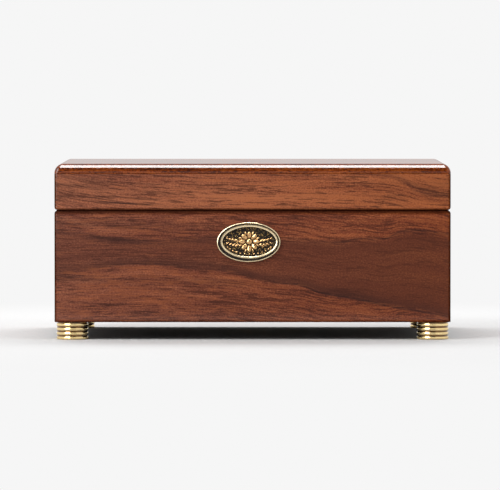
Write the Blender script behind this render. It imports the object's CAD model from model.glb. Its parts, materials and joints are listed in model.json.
import json
import math

import bmesh
import bpy
from mathutils import Matrix, Vector, noise

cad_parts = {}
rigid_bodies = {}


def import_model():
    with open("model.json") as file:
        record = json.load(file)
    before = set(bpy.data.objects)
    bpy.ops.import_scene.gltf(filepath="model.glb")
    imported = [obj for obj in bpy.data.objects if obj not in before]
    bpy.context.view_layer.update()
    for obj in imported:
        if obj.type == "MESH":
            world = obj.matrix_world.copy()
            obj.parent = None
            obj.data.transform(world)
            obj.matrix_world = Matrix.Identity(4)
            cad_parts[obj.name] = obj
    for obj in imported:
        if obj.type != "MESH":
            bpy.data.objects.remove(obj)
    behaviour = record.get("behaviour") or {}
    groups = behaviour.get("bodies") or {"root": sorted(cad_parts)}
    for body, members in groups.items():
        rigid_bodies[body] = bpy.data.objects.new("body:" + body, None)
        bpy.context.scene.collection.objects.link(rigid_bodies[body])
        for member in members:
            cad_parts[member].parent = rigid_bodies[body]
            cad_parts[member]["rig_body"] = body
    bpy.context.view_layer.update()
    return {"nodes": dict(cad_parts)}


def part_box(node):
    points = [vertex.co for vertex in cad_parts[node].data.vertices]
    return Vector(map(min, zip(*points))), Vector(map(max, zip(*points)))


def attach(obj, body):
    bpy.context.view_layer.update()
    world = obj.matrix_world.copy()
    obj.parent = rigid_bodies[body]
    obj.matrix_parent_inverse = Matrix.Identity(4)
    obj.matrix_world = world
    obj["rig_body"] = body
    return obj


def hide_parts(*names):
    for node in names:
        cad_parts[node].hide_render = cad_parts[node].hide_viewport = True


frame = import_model()
scene = bpy.context.scene
scene.view_settings.view_transform = "Standard"

# Where the case stands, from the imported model
frontFace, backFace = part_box("case_front")[0].y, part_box("case_back")[1].y
middleY = (frontFace + backFace) / 2
print("frame loaded:", len(frame["nodes"]), "nodes")


# Colours and nodes

def linear(hexColour, gain=1.0):
    # An sRGB hex value as the linear colour that a socket takes.
    parts = [int(hexColour[i:i + 2], 16) / 255 for i in (1, 3, 5)]
    made = [part / 12.92 if part <= 0.04045 else ((part + 0.055) / 1.055) ** 2.4 for part in parts]
    return (*[part * gain for part in made], 1.0)


def setInputs(tree, node, inputs):
    # An input is a plain value, an output to link, or a node whose first output is linked.
    for key, value in inputs.items():
        if isinstance(value, bpy.types.Node):
            value = value.outputs[0]
        if isinstance(value, bpy.types.NodeSocket):
            tree.links.new(value, node.inputs[key])
        else:
            node.inputs[key].default_value = value


def addNode(tree, kind, inputs=None, **settings):
    # Settings are the node's own options.
    made = tree.nodes.new(kind)
    for key, value in settings.items():
        setattr(made, key, value)
    setInputs(tree, made, inputs or {})
    return made


def newMaterial(name):
    made = bpy.data.materials.new(name)
    made.use_nodes = True
    return made, made.node_tree, made.node_tree.nodes["Principled BSDF"]


def setRamp(ramp, stops):
    # Stops are (place, hex colour) pairs from low to high.
    elements = ramp.color_ramp.elements
    while len(elements) < len(stops):
        elements.new(1.0)
    for element, (place, hexColour) in zip(elements, stops):
        element.position = place
        element.color = linear(hexColour)


def drawCurve(node, points, low, high):
    # Points are (x in mm, value) pairs. The node takes x from 0 to 1 and gives 0 to 1.
    drawn = node.mapping.curves[0]
    places = [((x + 100) / 200, (value - low) / (high - low)) for x, value in points]
    drawn.points[0].location = places[0]
    drawn.points[1].location = places[-1]
    for place in places[1:-1]:
        drawn.points.new(*place)
    node.mapping.update()


def patches(tree, coords, size, detail=2.0, distortion=0.0):
    # Soft random patches. size is what one of them measures along each axis, in mm.
    scaled = addNode(tree, "ShaderNodeVectorMath", {0: coords, 1: [1 / part for part in size]},
                     operation="MULTIPLY")
    return addNode(tree, "ShaderNodeTexNoise", {
        "Vector": scaled, "Scale": 1.0, "Detail": detail, "Roughness": 0.55, "Distortion": distortion,
    })


def grained(tree, coords, size, detail=1.0):
    # Patches drawn out along the grain. size is their length and their width, in mm.
    along, across = size
    return patches(tree, coords, (along, across, across), detail)


def millimetres(tree, turn=(0, 0, 0)):
    # Object coordinates in millimetres, turned so that X runs along the grain or brushing.
    coords = addNode(tree, "ShaderNodeTexCoord").outputs["Object"]
    return addNode(tree, "ShaderNodeMapping", {
        "Vector": coords, "Rotation": turn, "Scale": (1000, 1000, 1000)})


# American black walnut under clear lacquer: a warm brown with short dark pores and finer
# fibres, and smoky bands that follow two growth rings in long slanting curves.

walnutLook = {
    # Three browns from dark to light, a greyer set for one end of a board and a redder one
    "cool": ("#502A20", "#784433", "#A0644A"), "warm": ("#4F2112", "#7D3C20", "#A85D31"),
    "smoke": "#2F1B18", "tongue": "#4A261A", "pore": "#33170F", "stain": "#1E0A05",
    # What a patch measures along and across the grain, in mm. Pores and dashes are about
    # twice as coarse as real ones, to show
    "poreSize": (5.0, 0.5), "dashSize": (19.0, 0.62), "denseSize": (42.0, 6.0), "streakSize": (30.0, 1.1),
    "speckSize": (0.9, 0.6), "fibreSize": (34.0, 0.9), "bandSize": (85.0, 5.0), "cloudSize": (110.0, 24.0),
    # How far the growth rings wander, and how far apart they lie where no figure says so, in mm
    "bend": 2.4, "ringGap": 26.0,
    # How far each layer takes the wood between dark and light
    "cloudDrift": 0.5, "bandDrift": 0.45, "fibreDrift": 0.45, "speckDrift": 0.85,
    # How dark the pores and how pale the flecks are, and the levels where each starts and is full
    "poreDepth": 0.62, "fleck": 0.28, "poreLevels": (1.36, 1.54), "fleckLevels": (1.26, 1.08),
    "roughness": 0.45, "specular": 0.1, "lacquer": 1.0, "lacquerRoughness": 0.09,
    # The middle and half of the height, and half the length, between the stained arrises in mm
    "arris": None,
}


def figureLines(tree, share, figure):
    # The height in mm of each line of a figure, along the board.
    lines = []
    for line in figure["lines"]:
        heights = [height for x, height in line["points"]]
        low, high = min(heights) - 2, max(heights) + 2
        curve = addNode(tree, "ShaderNodeFloatCurve", {"Value": share})
        drawCurve(curve, line["points"], low, high)
        lines.append(addNode(tree, "ShaderNodeMapRange", {"Value": curve, "To Min": low, "To Max": high}))
    return lines


def growthRings(tree, height, share, figure, lines):
    # ring counts from 0 at the lower line to 1 at the upper one, slope is the grain's and
    # comes from their middle, and inside is the share of the dark tongue between them.
    rise = addNode(tree, "ShaderNodeMath", {0: height, 1: lines[0]}, operation="SUBTRACT")
    gap = addNode(tree, "ShaderNodeMath", {0: lines[1], 1: lines[0]}, operation="SUBTRACT")
    ring = addNode(tree, "ShaderNodeMath", {0: rise, 1: gap}, operation="DIVIDE")
    slope = addNode(tree, "ShaderNodeMath", {0: lines[0], 1: lines[1]}, operation="ADD")
    slope = addNode(tree, "ShaderNodeMath", {0: slope, 1: -0.5}, operation="MULTIPLY")
    start = addNode(tree, "ShaderNodeMapRange", {"Value": ring, "From Min": -0.01, "From Max": 0.06},
                    interpolation_type="SMOOTHSTEP")
    end = addNode(tree, "ShaderNodeMapRange", {"Value": ring, "From Min": 1.02, "From Max": 0.88},
                  interpolation_type="SMOOTHSTEP")
    between = addNode(tree, "ShaderNodeFloatCurve", {"Value": share})
    drawCurve(between, figure["between"], 0.0, 1.0)
    inside = addNode(tree, "ShaderNodeMath", {0: start, 1: end}, operation="MULTIPLY")
    inside = addNode(tree, "ShaderNodeMath", {0: inside, 1: between}, operation="MULTIPLY")
    return ring, slope, inside


def drawSmoke(tree, colour, height, share, figure, lines, ragged, dark):
    # Each line of smoke fades out below and above, with ragged edges.
    for place, line in zip(lines, figure["lines"]):
        away = addNode(tree, "ShaderNodeMath", {0: height, 1: place}, operation="SUBTRACT")
        start = addNode(tree, "ShaderNodeMapRange", {
            "Value": away, "From Min": -line["below"], "From Max": 0.0}, interpolation_type="SMOOTHERSTEP")
        end = addNode(tree, "ShaderNodeMapRange", {
            "Value": away, "From Min": line["above"], "From Max": 0.0}, interpolation_type="SMOOTHERSTEP")
        strength = addNode(tree, "ShaderNodeFloatCurve", {"Value": share})
        drawCurve(strength, line["strength"], 0.0, 1.0)
        smoke = addNode(tree, "ShaderNodeMath", {0: start, 1: end}, operation="MULTIPLY")
        smoke = addNode(tree, "ShaderNodeMath", {0: smoke, 1: strength}, operation="MULTIPLY")
        smoke = addNode(tree, "ShaderNodeMath", {0: smoke, 1: ragged}, operation="MULTIPLY", use_clamp=True)
        colour = addNode(tree, "ShaderNodeMix", {0: smoke, 6: colour, 7: linear(dark)},
                         data_type="RGBA").outputs[2]
    return colour


def stainArris(tree, colour, apart, look, shader):
    # The stain lies darker and the polish is dull on the arrises at the seam, bottom and ends.
    middle, half, ends = look["arris"]
    outward = addNode(tree, "ShaderNodeMath", {0: apart.outputs["X"]}, operation="ABSOLUTE")
    outward = addNode(tree, "ShaderNodeMath", {0: outward, 1: ends - half}, operation="SUBTRACT")
    upward = addNode(tree, "ShaderNodeMath", {0: apart.outputs["Z"], 1: middle}, operation="SUBTRACT")
    upward = addNode(tree, "ShaderNodeMath", {0: upward}, operation="ABSOLUTE")
    edge = addNode(tree, "ShaderNodeMath", {0: outward, 1: upward}, operation="MAXIMUM")
    edge = addNode(tree, "ShaderNodeMapRange", {
        "Value": edge, "From Min": half - 2.4, "From Max": half - 0.9, "To Max": 0.8})
    for level, socket in ((look["lacquer"], "Coat Weight"), (look["specular"], "Specular IOR Level")):
        dulled = addNode(tree, "ShaderNodeMapRange", {
            "Value": edge, "From Max": 0.3, "To Min": level, "To Max": 0.0})
        setInputs(tree, shader, {socket: dulled})
    return addNode(tree, "ShaderNodeMix", {0: edge, 6: colour, 7: linear(look["stain"])},
                   data_type="RGBA").outputs[2]


def walnut(name, turn=(0, 0, 0), shift=(0, 0, 0), figure=None, tone=0.0, warmth=(0.2, 0.8), **changes):
    # turn brings the grain to X and the board's width to Z. warmth is the share of red at
    # the left and the right end. A figure has lines of smoke, each with its height in mm
    # along the board and its strength. The first two are growth rings that the grain follows.
    look = {**walnutLook, **changes}
    made, tree, shader = newMaterial(name)
    board = millimetres(tree, turn)
    apart = addNode(tree, "ShaderNodeSeparateXYZ", {0: board})
    moved = addNode(tree, "ShaderNodeVectorMath", {0: board, 1: shift}, operation="ADD")
    wander = addNode(tree, "ShaderNodeMath", {
        0: patches(tree, moved, (70, 30, 22)), 1: 0.5}, operation="SUBTRACT")
    wander = addNode(tree, "ShaderNodeMath", {0: wander, 1: look["bend"]}, operation="MULTIPLY")
    height = addNode(tree, "ShaderNodeMath", {0: apart.outputs["Z"], 1: wander}, operation="ADD")
    share = addNode(tree, "ShaderNodeMapRange", {
        "Value": apart.outputs["X"], "From Min": -100.0, "From Max": 100.0})

    if figure:
        lines = figureLines(tree, share, figure)
        ring, slope, inside = growthRings(tree, height, share, figure, lines)
    else:
        inside = 0.0
        ring = addNode(tree, "ShaderNodeMath", {0: height, 1: look["ringGap"]}, operation="DIVIDE")
        slope = addNode(tree, "ShaderNodeMath", {0: wander, 1: 0.6}, operation="MULTIPLY")
    ringHeight = addNode(tree, "ShaderNodeMath", {0: ring, 1: look["ringGap"]}, operation="MULTIPLY")
    bands = addNode(tree, "ShaderNodeCombineXYZ", {
        0: apart.outputs["X"], 1: apart.outputs["Y"], 2: ringHeight})
    bands = addNode(tree, "ShaderNodeVectorMath", {0: bands, 1: shift}, operation="ADD")
    leaning = addNode(tree, "ShaderNodeCombineXYZ", {2: slope})
    fine = addNode(tree, "ShaderNodeVectorMath", {0: moved, 1: leaning}, operation="ADD")

    # Light to dark from slow clouds, growth bands, fibres and specks together
    level = tone + 0.5
    fibres = addNode(tree, "ShaderNodeMath", {
        0: inside, 1: -look["fibreDrift"], 2: look["fibreDrift"]}, operation="MULTIPLY_ADD")
    for coords, size, weight, detail in (
        (moved, "cloudSize", look["cloudDrift"], 2.0), (bands, "bandSize", look["bandDrift"], 3.0),
        (fine, "fibreSize", fibres, 2.0), (fine, "speckSize", look["speckDrift"], 1.0),
    ):
        drift = addNode(tree, "ShaderNodeMath", {
            0: grained(tree, coords, look[size], detail), 1: 0.5}, operation="SUBTRACT")
        level = addNode(tree, "ShaderNodeMath", {0: drift, 1: weight, 2: level}, operation="MULTIPLY_ADD")
    ramps = []
    for key in ("cool", "warm"):
        ramp = addNode(tree, "ShaderNodeValToRGB", {"Fac": level})
        setRamp(ramp, list(zip((0.18, 0.50, 0.82), look[key])))
        ramps.append(ramp)
    red = addNode(tree, "ShaderNodeMapRange", {"Value": share, "To Min": warmth[0], "To Max": warmth[1]})
    colour = addNode(tree, "ShaderNodeMix", {0: red, 6: ramps[0], 7: ramps[1]}, data_type="RGBA").outputs[2]
    if figure:
        # The tongue between the rings is darker, under the smoke
        colour = addNode(tree, "ShaderNodeMix", {0: inside, 6: colour, 7: linear(look["tongue"])},
                         data_type="RGBA").outputs[2]
        ragged = addNode(tree, "ShaderNodeMapRange", {
            "Value": grained(tree, fine, look["streakSize"], 2.0), "From Min": 0.35, "From Max": 0.65,
            "To Min": 0.7, "To Max": 1.2})
        colour = drawSmoke(tree, colour, height, share, figure, lines, ragged, look["smoke"])

    # Dark pores, which lie denser in some places, and paler flecks between them
    pores, dashes = (grained(tree, fine, look[size]) for size in ("poreSize", "dashSize"))
    both = addNode(tree, "ShaderNodeMath", {0: pores, 1: dashes}, operation="ADD")
    denser = grained(tree, moved, look["denseSize"])
    both = addNode(tree, "ShaderNodeMath", {0: denser, 1: 0.6, 2: both}, operation="MULTIPLY_ADD")
    depth = addNode(tree, "ShaderNodeMath", {0: inside, 1: -0.4, 2: look["poreDepth"]},
                    operation="MULTIPLY_ADD")
    flecks = addNode(tree, "ShaderNodeMath", {0: inside, 1: -0.5, 2: look["fleck"]},
                     operation="MULTIPLY_ADD", use_clamp=True)
    dark, pale = (
        addNode(tree, "ShaderNodeMapRange", {
            "Value": both, "From Min": look[levels][0], "From Max": look[levels][1], "To Max": most,
        }, interpolation_type="SMOOTHSTEP")
        for levels, most in (("poreLevels", depth), ("fleckLevels", flecks))
    )
    for amount, hexColour in ((dark, look["pore"]), (pale, look["warm"][2])):
        colour = addNode(tree, "ShaderNodeMix", {0: amount, 6: colour, 7: linear(hexColour)},
                         data_type="RGBA").outputs[2]
    # The open pores dent the wood under its lacquer
    bump = addNode(tree, "ShaderNodeBump", {
        "Strength": 0.3, "Distance": 0.00005, "Height": dark}, invert=True)
    setInputs(tree, shader, {
        "Normal": bump, "Roughness": look["roughness"], "Specular IOR Level": look["specular"],
        "Coat Weight": look["lacquer"], "Coat Roughness": look["lacquerRoughness"]})
    if look["arris"]:
        colour = stainArris(tree, colour, apart, look, shader)
    setInputs(tree, shader, {"Base Color": colour})
    return made


# Metals, glass and cloth

def metal(name, hexColour, roughness, tarnish, tarnishShare=0.25, patch=6.0, brushing=0.0, turn=(0, 0, 0)):
    # Bare metal that drifts slowly between clean and tarnished, with fine brushing along X
    # where brushing is above zero.
    made, tree, shader = newMaterial(name)
    coords = millimetres(tree, turn)
    drift = patches(tree, coords, (patch, patch, patch), 3.0)
    share = addNode(tree, "ShaderNodeMapRange", {
        "Value": drift, "From Min": 0.42, "From Max": 0.74, "To Max": tarnishShare,
    }, interpolation_type="SMOOTHSTEP")
    colour = addNode(tree, "ShaderNodeMix", {0: share, 6: linear(hexColour), 7: linear(tarnish)},
                     data_type="RGBA")
    dull = addNode(tree, "ShaderNodeMapRange", {
        "Value": drift, "From Min": 0.3, "From Max": 0.8,
        "To Min": roughness * 0.8, "To Max": roughness * 1.5})
    setInputs(tree, shader, {"Base Color": colour.outputs[2], "Roughness": dull, "Metallic": 1.0})
    if brushing:
        lines = grained(tree, coords, (9.0, 0.12))
        bump = addNode(tree, "ShaderNodeBump", {"Strength": brushing, "Distance": 0.00002, "Height": lines})
        setInputs(tree, shader, {"Normal": bump})
    return made


def castZinc():
    # Die-cast zinc, tumbled: a dull grey with a fine sandy grain of about 0.3 mm.
    made = metal("castZinc", "#8F8D88", 0.42, "#6B6964", 0.35, 4.0)
    tree = made.node_tree
    sand = patches(tree, millimetres(tree), (0.3, 0.3, 0.3))
    bump = addNode(tree, "ShaderNodeBump", {"Strength": 0.35, "Distance": 0.00004, "Height": sand})
    setInputs(tree, tree.nodes["Principled BSDF"], {"Normal": bump})
    return made


def floatGlass():
    # Clear float glass: sharp reflections and a slightly green body.
    made, tree, shader = newMaterial("floatGlass")
    setInputs(tree, shader, {"Base Color": linear("#F2FAF6"), "Transmission Weight": 1.0, "Roughness": 0.02})
    return made


def cottonVelvet():
    # Wine red velvet: short pile that is dark head-on, glows at its edges and shows where
    # it was last brushed.
    made, tree, shader = newMaterial("cottonVelvet")
    coords = millimetres(tree)
    pile = patches(tree, coords, (0.45, 0.45, 0.45))   # tufts drawn coarser than real pile
    brushed = patches(tree, coords, (24.0, 14.0, 14.0), 2.0, 0.6)
    ramp = addNode(tree, "ShaderNodeValToRGB", {"Fac": brushed})
    setRamp(ramp, [(0.34, "#540912"), (0.68, "#701220")])
    depth = addNode(tree, "ShaderNodeMapRange", {
        "Value": pile, "From Min": 0.4, "From Max": 0.7, "To Max": 0.45}, interpolation_type="SMOOTHSTEP")
    colour = addNode(tree, "ShaderNodeMix", {0: depth, 6: ramp, 7: linear("#2A0308")}, data_type="RGBA")
    bump = addNode(tree, "ShaderNodeBump", {"Strength": 0.5, "Distance": 0.0002, "Height": pile})
    setInputs(tree, shader, {
        "Base Color": colour.outputs[2], "Normal": bump, "Roughness": 0.95,
        "Sheen Weight": 0.4, "Sheen Roughness": 0.35, "Sheen Tint": linear("#D8707C")})
    return made


def birchPlywood():
    # Birch plywood under a black-brown stain: close-grained, with thin paler lines of grain.
    made, tree, shader = newMaterial("birchPlywood")
    coords = millimetres(tree)
    fibres = grained(tree, coords, (40.0, 0.8), 3.0)
    clouds = grained(tree, coords, (90.0, 18.0), 2.0)
    level = addNode(tree, "ShaderNodeMath", {0: fibres, 1: clouds}, operation="ADD")
    level = addNode(tree, "ShaderNodeMath", {0: level, 1: 0.5}, operation="MULTIPLY")
    ramp = addNode(tree, "ShaderNodeValToRGB", {"Fac": level})
    setRamp(ramp, [(0.34, "#1C1512"), (0.52, "#2A211C"), (0.70, "#3D3029")])
    setInputs(tree, shader, {"Base Color": ramp, "Roughness": 0.6})
    return made


# Mesh helpers

def linkMesh(name, bm, materials):
    mesh = bpy.data.meshes.new(name)
    bm.to_mesh(mesh)
    bm.free()
    for item in materials:
        mesh.materials.append(item)
    made = bpy.data.objects.new(name, mesh)
    scene.collection.objects.link(made)
    return made


def addPiece(name, bm, materials, body, replaces=(), sharpAngle=38.0):
    # The finished piece sits at the origin, rides on its body and stands for its nodes.
    piece = linkMesh(name, bm, materials)
    piece.data.shade_smooth()
    piece.data.set_sharp_from_angle(angle=math.radians(sharpAngle))
    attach(piece, body)
    if replaces:
        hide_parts(*replaces)
    return piece


def block(low, high):
    bm = bmesh.new()
    bmesh.ops.create_cube(bm, size=1.0)
    bmesh.ops.scale(bm, vec=high - low, verts=bm.verts)
    bmesh.ops.translate(bm, vec=(low + high) / 2, verts=bm.verts)
    return bm


def lathe(points, steps):
    # Points are (radius, height) from the axis round the outside and back to the axis.
    bm = bmesh.new()
    verts = [bm.verts.new((radius, 0, height)) for radius, height in points]
    edges = [bm.edges.new(pair) for pair in zip(verts, verts[1:])]
    bmesh.ops.spin(bm, geom=verts + edges, cent=(0, 0, 0), axis=(0, 0, 1), angle=2 * math.pi,
                   steps=steps, use_merge=True)
    bmesh.ops.remove_doubles(bm, verts=bm.verts, dist=1e-6)
    bmesh.ops.recalc_face_normals(bm, faces=bm.faces)
    return bm


def softened(node, material, edge=0.0, segments=2, sharpAngle=38.0, pick=None):
    # A merged copy of a CAD node, with its edges finely broken. pick chooses which edges,
    # and otherwise all the sharp ones are.
    source = frame["nodes"][node]
    bm = bmesh.new()
    bm.from_mesh(source.data)
    bmesh.ops.remove_doubles(bm, verts=bm.verts, dist=2e-6)
    bmesh.ops.dissolve_limit(bm, angle_limit=math.radians(0.5), verts=bm.verts, edges=bm.edges)
    if pick:
        weights = bm.edges.layers.float.new("bevel_weight_edge")
        for picked in bm.edges:
            picked[weights] = 1.0 if pick(picked) else 0.0
    piece = addPiece(node + "_finished", bm, [material], source["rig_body"], [node], sharpAngle)
    if edge:
        bevel = piece.modifiers.new("brokenEdges", "BEVEL")
        bevel.width = edge
        bevel.segments = segments
        bevel.limit_method = "WEIGHT" if pick else "ANGLE"
        bevel.angle_limit = math.radians(sharpAngle)
        bevel.use_clamp_overlap = True
        bevel.harden_normals = True
    weighted = piece.modifiers.new("flatFaces", "WEIGHTED_NORMAL")
    weighted.keep_sharp = True
    return piece


# Case and lid boards. Heights are in mm over the floor, and places run from -100 to 100.

lowerRing = [
    (-100, 33.5), (-86, 35), (-77.7, 36.6), (-68.7, 37.9), (-57, 38.5), (-44, 37.9), (-32.7, 36.3),
    (-12, 34.6), (4.3, 30.6), (14.2, 28.9), (23.4, 27.8), (34.7, 23.6), (52.4, 20.4), (68.7, 16.5),
    (85.7, 14), (100, 10.2),
]
upperRing = [
    (-100, 56.5), (-86, 53.7), (-76.4, 51.8), (-66, 50.8), (-47.5, 50.1), (-28, 51.2), (14.9, 50.6),
    (33.3, 49.7), (42.5, 49), (55.2, 51.2), (63, 50.8), (71.5, 53.3), (79.9, 55.6), (85.7, 55.4),
    (92.7, 54.5), (100, 53.4),
]
figures = {
    # A line gives its heights and strengths along the board, and how far it fades out
    "caseFront": {"lines": [
        {"points": lowerRing,
         "strength": [(-100, 0.3), (-70, 0.45), (-45, 0.45), (-20, 0.42), (5, 0.5), (25, 0.5),
                      (60, 0.45), (85, 0.4), (100, 0.3)], "below": 1.2, "above": 6.5},
        {"points": upperRing,
         "strength": [(-100, 0.35), (-75, 0.5), (-60, 0.62), (-40, 0.45), (-25, 0.5), (5, 0.35), (35, 0.4),
                      (60, 0.35), (82, 0.35), (100, 0.3)], "below": 5.0, "above": 1.8},
        {"points": lowerRing,
         "strength": [(-100, 0.1), (-80, 0.25), (-60, 0.4), (-40, 0.3), (-10, 0.2), (10, 0.45),
                      (30, 0.75), (60, 0.7), (85, 0.6), (100, 0.5)], "below": 0.7, "above": 1.1},
        {"points": upperRing,
         "strength": [(-100, 0.0), (25, 0.0), (40, 0.4), (60, 0.5), (82, 0.6), (92, 0.3), (100, 0.3)],
         "below": 1.1, "above": 0.6},
        {"points": [(-100, 31.5), (-80, 31), (-50, 30), (-20, 29), (-5, 28.5), (100, 26)],
         "strength": [(-100, 0.5), (-80, 0.4), (-60, 0.15), (-40, 0.25), (-15, 0.45), (-5, 0.35), (5, 0.0),
                      (100, 0.0)], "below": 3.5, "above": 4.0},
        {"points": [(-100, 58.5), (-73, 57.5), (-53, 56.4), (-40, 54.5), (100, 53)],
         "strength": [(-100, 0.0), (-77, 0.0), (-70, 0.6), (-56, 0.6), (-50, 0.2), (-44, 0.4),
                      (-38, 0.0), (100, 0.0)], "below": 1.0, "above": 0.8},
        {"points": [(-100, 60), (-60, 59), (-20, 57), (100, 57)],
         "strength": [(-100, 0.35), (-50, 0.3), (-20, 0.12), (0, 0.0), (100, 0.0)],
         "below": 6.0, "above": 4.0},
    ], "between": [(-100, 0.4), (-60, 0.3), (-20, 0.4), (20, 0.5), (60, 0.6), (100, 0.6)]},
    "caseEnd": {"lines": [
        {"points": [(-100, 22), (-60, 26), (-20, 33), (15, 37), (50, 34), (80, 26), (100, 20)],
         "strength": [(-100, 0.3), (0, 0.65), (100, 0.3)], "below": 1.5, "above": 7.0},
        {"points": [(-100, 50), (-55, 54), (-10, 60), (30, 61), (70, 55), (100, 50)],
         "strength": [(-100, 0.2), (0, 0.4), (100, 0.5)], "below": 7.0, "above": 2.0},
    ], "between": [(-100, 0.2), (0, 0.35), (100, 0.3)]},
    "lidFront": {"lines": [
        {"points": [(-100, 73), (-88, 70.5), (-74, 69.4), (-58, 68.7), (-42, 67.8), (0, 66), (100, 64)],
         "strength": [(-100, 0.1), (-80, 0.2), (-74, 0.75), (-60, 1.0), (-52, 0.75), (-44, 0.2),
                      (0, 0.1), (100, 0.0)], "below": 0.8, "above": 1.1},
        {"points": [(-100, 97), (-75, 91), (-50, 87), (-20, 85), (0, 84.5), (40, 84.5), (66, 83), (75, 80.5),
                    (82, 76.5), (91, 73.5), (100, 72.5)],
         "strength": [(-100, 0.0), (40, 0.1), (60, 0.3), (80, 0.4), (100, 0.3)], "below": 2.0, "above": 4.0},
        {"points": [(-100, 85), (-84, 81.5), (-58, 79), (-20, 76), (100, 72)],
         "strength": [(-100, 0.4), (-80, 0.35), (-55, 0.35), (-40, 0.1), (0, 0.1), (100, 0.0)],
         "below": 2.0, "above": 0.8},
        {"points": [(-100, 73.5), (-84, 72), (-74, 72.3), (-58, 71.2), (-20, 70), (100, 68)],
         "strength": [(-100, 0.4), (-85, 0.45), (-75, 0.55), (-52, 0.55), (-44, 0.0), (100, 0.0)],
         "below": 0.8, "above": 1.0},
        {"points": [(-100, 79), (-84, 77.5), (-58, 75.5), (-20, 73), (100, 68)],
         "strength": [(-100, 0.4), (-85, 0.35), (-60, 0.2), (-30, 0.0), (100, 0.0)],
         "below": 2.2, "above": 1.2},
        {"points": [(-100, 76), (100, 76)],
         "strength": [(-100, 0.0), (30, 0.0), (60, 0.12), (85, 0.25), (100, 0.3)],
         "below": 13.0, "above": 12.0},
    ], "between": [(-100, 0.2), (-80, 0.1), (-50, 0.0), (100, 0.0)]},
    "lidTop": {"lines": [
        {"points": [(-100, -30), (-40, -22), (20, -34), (70, -20), (100, -24)],
         "strength": [(-100, 0.5), (0, 0.7), (100, 0.5)], "below": 2.0, "above": 14.0},
        {"points": [(-100, 44), (-50, 30), (10, 36), (60, 22), (100, 34)],
         "strength": [(-100, 0.6), (0, 0.4), (100, 0.6)], "below": 14.0, "above": 2.0},
    ], "between": [(-100, 0.3), (0, 0.3), (100, 0.3)]},
}
alongX, alongY = (0, 0, 0), (0, 0, math.radians(90))
boardLooks = {
    # The turn of the grain, where on the tree the pattern is taken, the figure, the tone
    # and the share of red at the two ends
    "case_front": (alongX, (310, 40, 11), "caseFront", -0.04, (0.15, 0.95)),
    "case_back": (alongX, (-520, 90, 77), "caseFront", 0.0, (0.8, 0.3)),
    "case_left": (alongY, (150, 20, 230), "caseEnd", 0.0, (0.4, 0.3)),
    "case_right": (alongY, (850, -60, 120), "caseEnd", -0.02, (0.9, 0.7)),
    "lid_front": (alongX, (95, 400, 33), "lidFront", 0.19, (0.2, 0.9)),
    "lid_back": (alongX, (-230, 310, 64), "lidFront", 0.12, (0.6, 0.4)),
    "lid_left": (alongY, (420, 210, 9), None, 0.06, (0.4, 0.4)),
    "lid_right": (alongY, (-110, -180, 91), None, 0.05, (0.8, 0.8)),
}
boardEdge = 0.00035
# Where the stained arrises lie, in mm: the middle and half of the height, and half the length.
# The lid's upper end is past its boards, so they are stained at the seam and the ends only
caseArris, lidArris = (36.70, 28.70), (110.0, 45.50)
halfLengths = {"front": 100.9, "back": 100.9, "left": 70.9, "right": 70.9}


def makeBoards():
    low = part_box("case_front")[0].z

    def isUnderneath(edge):
        return all(vert.co.z < low + 1e-5 for vert in edge.verts)

    for node, (turn, shift, figure, tone, warmth) in boardLooks.items():
        words = "".join(word.title() for word in node.split("_"))
        place, side = node.split("_")
        arris = (*(caseArris if place == "case" else lidArris), halfLengths[side])
        look = walnut("walnut" + words, turn, shift, figures.get(figure), tone, warmth, arris=arris)
        softened(node, look, boardEdge, 2, 50.0, isUnderneath)
    # The inner pieces have one thin coat of lacquer
    inner = walnut("walnutInner", alongY, (33, 12, 640), None, -0.03, (0.5, 0.5), lacquer=0.4)
    for node in ("divider", "pane_ledge_left", "pane_ledge_right"):
        softened(node, inner, sharpAngle=50.0)


lidTopSizes = {"round": 0.0046, "corner": 0.0014, "segments": 14}


def makeLidTop():
    # One solid board: its upper edges have the large round and its corners a small one.
    low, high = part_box("lid_top")
    bm = block(low, high)
    weights = bm.edges.layers.float.new("bevel_weight_edge")
    for edge in bm.edges:
        first, second = edge.verts
        if abs(first.co.z - second.co.z) > 0.001:
            edge[weights] = lidTopSizes["corner"] / lidTopSizes["round"]
        elif first.co.z > low.z + 0.001:
            edge[weights] = 1.0
    flat = (math.radians(90), 0, 0)
    look = walnut("walnutLidTop", flat, (60, 75, -20), figures["lidTop"], -0.10, (0.9, 1.0), lacquer=0.65,
                  lacquerRoughness=0.06, specular=0.0, warm=("#4E1B06", "#823A11", "#B06028"),
                  poreSize=(1.8, 0.6), poreDepth=0.8)
    piece = addPiece("lid_top_board", bm, [look], "lid", ["lid_top"], 60.0)
    bevel = piece.modifiers.new("roundOver", "BEVEL")
    bevel.limit_method = "WEIGHT"
    bevel.width = lidTopSizes["round"]
    bevel.segments = lidTopSizes["segments"]
    bevel.profile = 0.5
    weighted = piece.modifiers.new("flatFaces", "WEIGHTED_NORMAL")
    weighted.keep_sharp = True


makeBoards()
makeLidTop()
print("walnut boards made")


# Turned brass feet: four polished rings with deep grooves between them

footSizes = {
    "rings": 4, "ringHeight": 0.00120, "groove": 0.00018, "grooveRound": 0.00002, "corner": 0.00004,
    "neck": 0.00055, "toe": 0.00022, "stud": 0.0100, "studRadius": 0.0020, "steps": 64,
}
footBrass = metal("turnedBrass", "#F6DCA2", 0.16, "#DDB668", 0.25, 5.0)
footGroove = metal("tarnishedGroove", "#7C5622", 0.16, "#3A250C", 0.8, 2.0)
footGroove.node_tree.nodes["Principled BSDF"].inputs["Coat Weight"].default_value = 1.0


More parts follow.
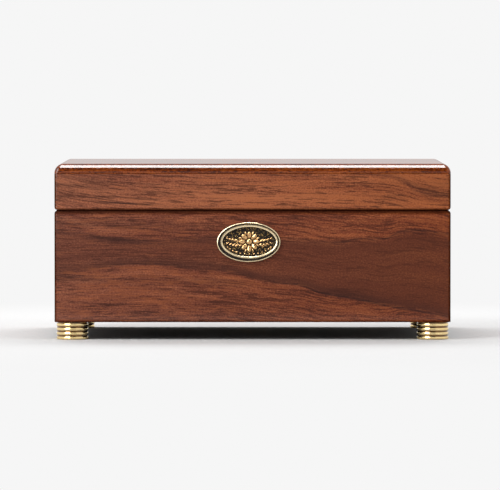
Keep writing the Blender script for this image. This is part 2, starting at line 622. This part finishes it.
def footProfile(radius, height):
    ring, corner, deep = footSizes["ringHeight"], footSizes["corner"], radius - footSizes["groove"]
    side = deep + footSizes["grooveRound"]
    top, toe = height - footSizes["neck"], footSizes["toe"]
    gap = (top - toe - footSizes["rings"] * ring) / (footSizes["rings"] - 1)
    stud = height + footSizes["stud"]
    points = [(0, stud), (footSizes["studRadius"], stud), (footSizes["studRadius"], height), (deep, height),
              (deep, top + corner)]
    for number in range(footSizes["rings"]):
        # A flat polished ring with broken corners, then a shallow groove like a soft V
        high = top - number * (ring + gap)
        low = high - ring
        points += [(radius - corner, high), (radius - corner * 0.3, high - corner * 0.3),
                   (radius, high - corner), (radius, low + corner),
                   (radius - corner * 0.3, low + corner * 0.3), (radius - corner, low)]
        if number < footSizes["rings"] - 1:
            points += [(side, low - gap * 0.40), (deep, low - gap * 0.46), (deep, low - gap * 0.54),
                       (side, low - gap * 0.60)]
    points += [(deep, toe * 0.7), (deep, 0), (0, 0)]
    return points


def makeFeet():
    for corner in ("front_left", "front_right", "back_left", "back_right"):
        low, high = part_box("foot_" + corner)
        middle = (low + high) / 2
        radius = (high.x - low.x) / 2
        bm = lathe(footProfile(radius, high.z - footSizes["stud"]), footSizes["steps"])
        for face in bm.faces:
            reach = max(math.hypot(vert.co.x, vert.co.y) for vert in face.verts)
            if reach < radius - footSizes["corner"] * 0.9:
                face.material_index = 1
        bmesh.ops.translate(bm, vec=(middle.x, middle.y, 0), verts=bm.verts)
        addPiece("turned_foot_" + corner, bm, [footBrass, footGroove], "case",
                 ["foot_" + corner], 25.0)


makeFeet()
print("feet made")


# Oval badge: two polished rims round a dark stippled field with a flower and leaf sprays

badgeSizes = {
    "segments": 96, "offCentre": (0.00034, 0.00022),   # the inner rim is struck a little off centre
    "petals": 8, "petalSize": (0.0036, 0.0021, 0.0010), "petalTilt": 14, "flowerRadius": 0.0034,
    "budHalf": (0.0009, 0.00045, 0.00036), "budReach": 0.0013, "bossHalf": (0.0014, 0.0014, 0.00062),
    "leaves": 4, "leafLength": 0.0026, "leafWidth": 0.0011, "leafHeight": 0.00042,
    "leafStart": 0.0062, "leafStep": 0.00160, "leafLean": 32, "leafTaper": 0.12,
    "beads": 13, "beadRadius": 0.00048, "beadInset": 0.0038, "beadStart": 206, "beadArc": 128,
}
badgeBrass = metal("buffedBadgeBrass", "#FCE6BC", 0.22, "#E0B97A", 0.35, 1.5)
reliefBrass = metal("wornReliefBrass", "#E0B47C", 0.20, "#8A6034", 0.8, 1.0)
for finish, share in ((badgeBrass, 0.7), (reliefBrass, 0.75)):
    finish.node_tree.nodes["Principled BSDF"].inputs["Metallic"].default_value = share


def blackPatina():
    # The soot-black patina that a buffing wheel can't reach, in the grooves of the badge.
    made, tree, shader = newMaterial("blackPatina")
    ramp = addNode(tree, "ShaderNodeValToRGB", {"Fac": patches(tree, millimetres(tree), (0.8, 0.8, 0.8))})
    setRamp(ramp, [(0.35, "#0D0A08"), (0.75, "#2B2015")])
    setInputs(tree, shader, {"Base Color": ramp, "Roughness": 0.45, "Metallic": 0.6})
    return made


def stippledBrass():
    # Pressed brass under patina: gold shows only on the tips of its 0.7 mm stippling.
    made, tree, shader = newMaterial("stippledBrass")
    coords = millimetres(tree)
    cells = addNode(tree, "ShaderNodeTexVoronoi", {"Vector": coords, "Scale": 1.4})
    tips = addNode(tree, "ShaderNodeMapRange", {
        "Value": cells.outputs["Distance"], "From Min": 0.16, "From Max": 0.42, "To Min": 1.0, "To Max": 0.0,
    }, interpolation_type="SMOOTHSTEP")
    rubbed = addNode(tree, "ShaderNodeMapRange", {
        "Value": patches(tree, coords, (1.2, 1.2, 1.2)), "From Min": 0.36, "From Max": 0.60, "To Min": 0.1,
    }, interpolation_type="SMOOTHSTEP")
    worn = addNode(tree, "ShaderNodeMath", {0: tips, 1: rubbed}, operation="MULTIPLY")
    colour = addNode(tree, "ShaderNodeMix", {0: worn, 6: linear("#140C05"), 7: linear("#C49A54")},
                     data_type="RGBA")
    bump = addNode(tree, "ShaderNodeBump", {"Strength": 0.8, "Distance": 0.00012, "Height": tips})
    setInputs(tree, shader, {
        "Base Color": colour.outputs[2], "Normal": bump, "Roughness": 0.4, "Metallic": 0.6})
    return made


def makeBadge():
    size = badgeSizes
    low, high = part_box("badge")
    middle = (low + high) / 2
    width, height, depth = high.x - low.x, high.z - low.z, high.y - low.y
    # Built lying down, face up, and stood up against the front at the end
    stand = Matrix.Translation((middle.x, high.y, middle.z)) @ Matrix.Rotation(math.radians(90), 4, "X")
    bm = bmesh.new()
    bmesh.ops.create_circle(bm, cap_ends=True, segments=size["segments"], radius=1.0)
    bmesh.ops.scale(bm, vec=(width / 2, height / 2, 1), verts=bm.verts)
    bm.faces.ensure_lookup_table()
    face = bm.faces[0]
    if face.normal.z < 0:
        bmesh.ops.reverse_faces(bm, faces=[face])
    raised = bmesh.ops.extrude_face_region(bm, geom=[face], use_keep_orig=True)
    top = [item for item in raised["geom"] if isinstance(item, bmesh.types.BMFace)]
    base = depth * 0.56
    bmesh.ops.translate(bm, vec=(0, 0, base), verts=[vert for item in top for vert in item.verts])
    # (inset, rise, material, sideways step): 0 polished, 1 black groove, 2 stippled field.
    # The one sideways step leaves the wide groove widest at the lower left
    centred, struck = (0, 0), size["offCentre"]
    steps = [
        (0.00014, 0.00022, 0, centred), (0.00026, 0.00004, 0, centred), (0.00012, -0.00034, 0, centred),
        (0.00086, -0.00004, 1, struck), (0.00012, 0.00046, 0, centred),
        (0.00018, depth - base - 0.00036, 0, centred), (0.00062, 0.00002, 0, centred),
        (0.00018, -0.00020, 0, centred), (0.00014, -0.00072, 1, centred), (0.00040, -0.00004, 2, centred),
        (0.00260, 0.00010, 2, centred),
    ]
    for inset, rise, look, moved in steps:
        ring = bmesh.ops.inset_region(bm, faces=top, thickness=inset, depth=0.0, use_even_offset=True)
        lifted = {vert for item in top for vert in item.verts}
        bmesh.ops.translate(bm, vec=(*moved, rise), verts=list(lifted))
        for item in ring["faces"]:
            item.material_index = look
    for item in top:
        item.material_index = 2
    floor = top[0].verts[0].co.z
    bmesh.ops.recalc_face_normals(bm, faces=bm.faces)
    bmesh.ops.transform(bm, matrix=stand, verts=bm.verts)
    addPiece("badge_plate", bm, [badgeBrass, blackPatina(), stippledBrass()], "case",
             ["badge"], 55.0)

    relief = bmesh.new()

    def blob(scale, matrix):
        made = bmesh.ops.create_uvsphere(relief, u_segments=14, v_segments=8, radius=1.0)["verts"]
        bmesh.ops.scale(relief, vec=scale, verts=made)
        bmesh.ops.transform(relief, matrix=matrix, verts=made)

    lift = Matrix.Translation((*size["offCentre"], floor))
    for petal in range(size["petals"]):
        turn = Matrix.Rotation(2 * math.pi * petal / size["petals"], 4, "Z")
        out = Matrix.Translation((size["flowerRadius"], 0, 0.00012))
        tilt = Matrix.Rotation(math.radians(-size["petalTilt"]), 4, "Y")
        blob([part / 2 for part in size["petalSize"]], lift @ turn @ out @ tilt)
        between = Matrix.Rotation(2 * math.pi * (petal + 0.5) / size["petals"], 4, "Z")
        far = Matrix.Translation((size["flowerRadius"] + size["budReach"], 0, 0.00002))
        blob(size["budHalf"], lift @ between @ far)
    blob(size["bossHalf"], lift @ Matrix.Translation((0, 0, 0.00022)))
    for side in (-1, 1):
        for number in range(size["leaves"]):
            # The spray bends upwards as it leaves the flower
            along = size["leafStart"] + number * size["leafStep"]
            rise = 0.00022 * number ** 1.5 - 0.0006
            for pair in (-1, 1):
                lean = math.radians(size["leafLean"]) * pair
                leaf = (
                    lift @ Matrix.Translation((side * along, rise + pair * 0.0012, 0.00008))
                    @ Matrix.Rotation(lean if side > 0 else math.pi - lean, 4, "Z")
                )
                shrink = 1.0 - size["leafTaper"] * number
                length, breadth = size["leafLength"] / 2 * shrink, size["leafWidth"] / 2 * shrink
                blob((length, breadth, size["leafHeight"]), leaf)
    # A garland of beads hangs along the foot of the inner rim
    beadX, beadY = width / 2 - size["beadInset"], height / 2 - size["beadInset"]
    for number in range(size["beads"]):
        angle = math.radians(size["beadStart"] + size["beadArc"] * number / (size["beads"] - 1))
        spot = Matrix.Translation((beadX * math.cos(angle), beadY * math.sin(angle), 0.00006))
        made = bmesh.ops.create_icosphere(relief, subdivisions=2, radius=size["beadRadius"])["verts"]
        bmesh.ops.transform(relief, matrix=lift @ spot, verts=made)
    bmesh.ops.transform(relief, matrix=stand, verts=relief.verts)
    addPiece("badge_relief", relief, [reliefBrass], "case", sharpAngle=80.0)


makeBadge()
print("badge made")


# Hinges

def makeHinges():
    brass = metal("stampedBrass", "#E2B766", 0.18, "#A9793A", 0.35, 7.0, 0.25)
    for node in sorted(frame["nodes"]):
        if "_hinge_" in node:
            softened(node, brass, 0.00018)


makeHinges()
print("hinges made")


# Movement

castNodes = ("bedplate", "left_bearing", "right_bearing", "governor_frame")
brassNodes = ("barrel_bridge", "spring_barrel", "cylinder_wheel", "idler_wheel", "governor_fan",
              "winding_key", "cylinder")
steelNodes = ("comb", "comb_screw_1", "comb_screw_2", "ratchet_wheel", "click", "cylinder_arbor",
              "winding_arbor", "governor_worm", "stop_lever", "stop_rod", "movement_screw_1",
              "movement_screw_2", "movement_screw_3")


def makeMovement():
    zinc = castZinc()
    brass = metal("movementBrass", "#CFA552", 0.18, "#9C7434", 0.25, 8.0, 0.2)
    steel = metal("groundSteel", "#757472", 0.38, "#5C5B5A", 0.3, 9.0, 0.4, alongY)
    blued = metal("blueTemperedSteel", "#4A5A78", 0.2, "#2E3850", 0.4, 6.0)
    for node in castNodes:
        softened(node, zinc, 0.00025)
    for node in brassNodes:
        softened(node, brass, 0.00012)
    for node in steelNodes:
        softened(node, steel, 0.0001)
    softened("mainspring", blued)
    softened("bottom_board", birchPlywood(), 0.0004)
    softened("glass_pane", floatGlass())


makeMovement()
print("movement made")


# Velvet linings

liningSizes = {
    # The lid's pad: cells along and across, the width of its rolled edge, and its thickness,
    # crown and ripple as shares of the room for it
    "cells": (72, 48), "roll": 0.004, "thick": 0.72, "crown": 0.22, "ripple": 0.05,
    # The tray: its card and velvet together, and the rounds of its floor and its rim
    "wall": 0.0012, "floorRound": 0.0022, "rimRound": 0.00045,
}
velvetCloth = cottonVelvet()


def makeLidLining():
    # A thin padded panel: flat against the board, crowned below, with rolled edges.
    low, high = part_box("lid_lining")
    bm = bmesh.new()
    cells, reach = liningSizes["cells"], liningSizes["roll"]
    bmesh.ops.create_grid(bm, x_segments=cells[0], y_segments=cells[1], size=0.5)
    size, middle = high - low, (low + high) / 2
    for vert in bm.verts:
        x, y = vert.co.x * 2, vert.co.y * 2
        roll = 1.0
        for share, width in ((x, size.x), (y, size.y)):
            past = max(0.0, (abs(share) * width / 2 - (width / 2 - reach)) / reach)
            roll *= math.sqrt(max(0.0, 1 - past ** 2))
        crown = liningSizes["thick"] + liningSizes["crown"] * (1 - x * x) * (1 - y * y)
        ripple = liningSizes["ripple"] * noise.noise(Vector((vert.co.x * 9, vert.co.y * 6, 0.3)))
        depth = size.z * min(0.985, roll * (crown + ripple) + 0.04)
        vert.co = Vector((middle.x + size.x * vert.co.x, middle.y + size.y * vert.co.y, high.z - depth))
    rim = [edge for edge in bm.edges if edge.is_boundary]
    for item in bmesh.ops.extrude_edge_only(bm, edges=rim)["geom"]:
        if isinstance(item, bmesh.types.BMVert):
            item.co.z = high.z
    bmesh.ops.holes_fill(bm, edges=[edge for edge in bm.edges if edge.is_boundary])
    bmesh.ops.recalc_face_normals(bm, faces=bm.faces)
    piece = addPiece("lid_velvet", bm, [velvetCloth], "lid", ["lid_lining"], 180.0)


def makeTrayLining():
    # Velvet over thin card: walls with a rolled rim, and a floor with soft corners.
    low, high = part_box("tray_lining")
    wall = liningSizes["wall"]
    bm = block(low, high)
    opening = [face for face in bm.faces if face.normal.z > 0.9]
    bmesh.ops.inset_region(bm, faces=opening, thickness=wall, use_even_offset=True)
    sunk = bmesh.ops.extrude_face_region(bm, geom=opening)
    floor = [item for item in sunk["geom"] if isinstance(item, bmesh.types.BMFace)]
    bmesh.ops.delete(bm, geom=opening, context="FACES_ONLY")
    for vert in {vert for face in floor for vert in face.verts}:
        vert.co.z = low.z + wall

    def isInside(vert):
        return all(low[axis] + wall / 2 < vert.co[axis] < high[axis] - wall / 2 for axis in (0, 1))

    floorEdges = [edge for edge in bm.edges if all(isInside(vert) for vert in edge.verts)
                  and min(vert.co.z for vert in edge.verts) < low.z + wall + 1e-5]
    bmesh.ops.bevel(bm, geom=floorEdges, offset=liningSizes["floorRound"], offset_type="OFFSET", segments=5,
                    profile=0.5, affect="EDGES", material=-1)
    rims = [edge for edge in bm.edges if all(vert.co.z > high.z - 1e-5 for vert in edge.verts)]
    bmesh.ops.bevel(bm, geom=rims, offset=liningSizes["rimRound"], offset_type="OFFSET", segments=3,
                    profile=0.5, affect="EDGES", material=-1)
    bmesh.ops.recalc_face_normals(bm, faces=bm.faces)
    # An open tray can come out inside out, which its volume tells
    if bm.calc_volume(signed=True) < 0:
        bmesh.ops.reverse_faces(bm, faces=bm.faces)
    piece = addPiece("tray_velvet", bm, [velvetCloth], "case", ["tray_lining"], 70.0)


makeLidLining()
makeTrayLining()
print("linings made")


# Floor, lights and camera

studio = {
    "background": "#F6F6F6", "floor": "#DADADA", "floorGain": 0.73, "world": 0.58,
    "floorRadius": 3.0, "fadeStart": 0.10, "fadeEnd": 0.40,
}
lamps = {
    # Place, width, height and radiance, and what shows it: "light" falls on surfaces and
    # "shine" is seen in polish. A lamp with a radiance of 1 looks as bright as white paper
    "topBox": ((0, 0.60, 0.95), 1.10, 0.70, 4.6, "light"),
    "leftBox": ((-0.62, -0.80, 0.75), 0.50, 0.50, 8.2, "light"),
    "rightBox": ((0.70, -0.70, 0.80), 0.50, 0.50, 2.8, "light"),
    "topStrip": ((0, -0.095, 0.95), 0.32, 0.65, 28.0, "shine"),
    "leftStrip": ((-0.66, -0.86, 0.82), 0.62, 1.60, 8.0, "shine"),
}
cardWidth = 0.9
darkCards = (
    # Distance before the case's front, height of the middle, tilt and length. One lies, two stand
    (0.60, 0.001, 0, 0.80), (1.0, 0.05, 90, 0.10), (1.0, 1.32, 90, 1.76),
)
cameraPlace = {
    # Measured from the photograph: the distance from the front, the height, how far the
    # camera stands to the right, the height that it aims at, and its lens and film in mm
    "distance": 2.9, "height": 0.145, "side": -0.00129, "aim": 0.0479, "lens": 414.0, "sensor": 36,
}


def seenDirectly(tree):
    # 1 for rays that show the background: from the camera, by reflection or through glass.
    path = addNode(tree, "ShaderNodeLightPath")
    seen = addNode(tree, "ShaderNodeMath", {
        0: path.outputs["Is Camera Ray"], 1: path.outputs["Is Glossy Ray"]}, operation="MAXIMUM")
    return addNode(tree, "ShaderNodeMath", {
        0: seen, 1: path.outputs["Is Transmission Ray"]}, operation="MAXIMUM")


def makeFloor():
    bm = bmesh.new()
    bmesh.ops.create_circle(bm, cap_ends=True, segments=64, radius=studio["floorRadius"])
    made = bpy.data.materials.new("paleFloor")
    made.use_nodes = True
    tree = made.node_tree
    tree.nodes.clear()
    # What the camera sees has its own level, and fades into one even background further out
    plain = addNode(tree, "ShaderNodeBsdfDiffuse", {"Color": linear(studio["floor"])})
    near = addNode(tree, "ShaderNodeBsdfDiffuse", {
        "Color": linear(studio["background"], studio["floorGain"])})
    glow = addNode(tree, "ShaderNodeEmission", {"Color": linear(studio["background"])})
    coords = addNode(tree, "ShaderNodeTexCoord").outputs["Object"]
    distance = addNode(tree, "ShaderNodeVectorMath", {0: coords}, operation="LENGTH")
    far = addNode(tree, "ShaderNodeMapRange", {
        "Value": distance.outputs["Value"], "From Min": studio["fadeStart"], "From Max": studio["fadeEnd"],
    }, interpolation_type="SMOOTHSTEP")
    shown = addNode(tree, "ShaderNodeMixShader", {0: far, 1: near, 2: glow})
    mixed = addNode(tree, "ShaderNodeMixShader", {0: seenDirectly(tree), 1: plain, 2: shown})
    addNode(tree, "ShaderNodeOutputMaterial", {"Surface": mixed})
    linkMesh("floor", bm, [made])


def makeDarkCards():
    # Black cards in front of the box, seen only in its lacquer and brass, as a photographer
    # sets them up to keep polished wood from looking washed out. The gap between the two
    # standing ones keeps the middle of the feet bright.
    bm = bmesh.new()
    for ahead, height, tilt, length in darkCards:
        card = bmesh.ops.create_grid(bm, x_segments=1, y_segments=1, size=0.5)["verts"]
        place = Matrix.Translation((0, frontFace - ahead, height))
        turn = Matrix.Rotation(math.radians(tilt), 4, "X")
        bmesh.ops.transform(bm, matrix=place @ turn @ Matrix.Diagonal((cardWidth, length, 1, 1)), verts=card)
    made, tree, shader = newMaterial("blackCard")
    setInputs(tree, shader, {"Base Color": linear("#080808"), "Roughness": 1.0, "Specular IOR Level": 0.0})
    card = linkMesh("darkCard", bm, [made])
    card.visible_camera = False
    card.visible_diffuse = False
    card.visible_shadow = False
    card.visible_transmission = False


def makeWorld():
    world = bpy.data.worlds.new("studio")
    scene.world = world
    world.use_nodes = True
    tree = world.node_tree
    tree.nodes.clear()
    shown = addNode(tree, "ShaderNodeBackground", {"Color": linear(studio["background"])})
    soft = addNode(tree, "ShaderNodeBackground", {"Color": (1, 1, 1, 1), "Strength": studio["world"]})
    mixed = addNode(tree, "ShaderNodeMixShader", {0: seenDirectly(tree), 1: soft, 2: shown})
    addNode(tree, "ShaderNodeOutputWorld", {"Surface": mixed})


def makeLights():
    centre = Vector((0, middleY, 0.05))
    for name, (place, width, height, radiance, use) in lamps.items():
        lamp = bpy.data.lights.new(name, "AREA")
        lamp.shape = "RECTANGLE"
        lamp.size = width
        lamp.size_y = height
        lamp.energy = radiance * math.pi * width * height
        made = bpy.data.objects.new(name, lamp)
        scene.collection.objects.link(made)
        made.location = place
        if "top" not in name:
            level = centre if use == "light" else Vector((0, middleY, place[2]))
            made.rotation_euler = (level - Vector(place)).to_track_quat("-Z", "Y").to_euler()
        made.visible_glossy = use == "shine"
        made.visible_diffuse = use == "light"


def makeCamera():
    lens = bpy.data.cameras.new("camera")
    made = bpy.data.objects.new("camera", lens)
    scene.collection.objects.link(made)
    lens.sensor_width = cameraPlace["sensor"]
    lens.lens = cameraPlace["lens"]
    lens.clip_end = 50
    side = cameraPlace["side"]
    made.location = (side, frontFace - cameraPlace["distance"], cameraPlace["height"])
    aim = Vector((side, frontFace, cameraPlace["aim"]))
    made.rotation_euler = (aim - made.location).to_track_quat("-Z", "Y").to_euler()
    scene.camera = made


makeFloor()
makeDarkCards()
makeWorld()
makeLights()
makeCamera()
print("studio made")

bpy.context.view_layer.update()
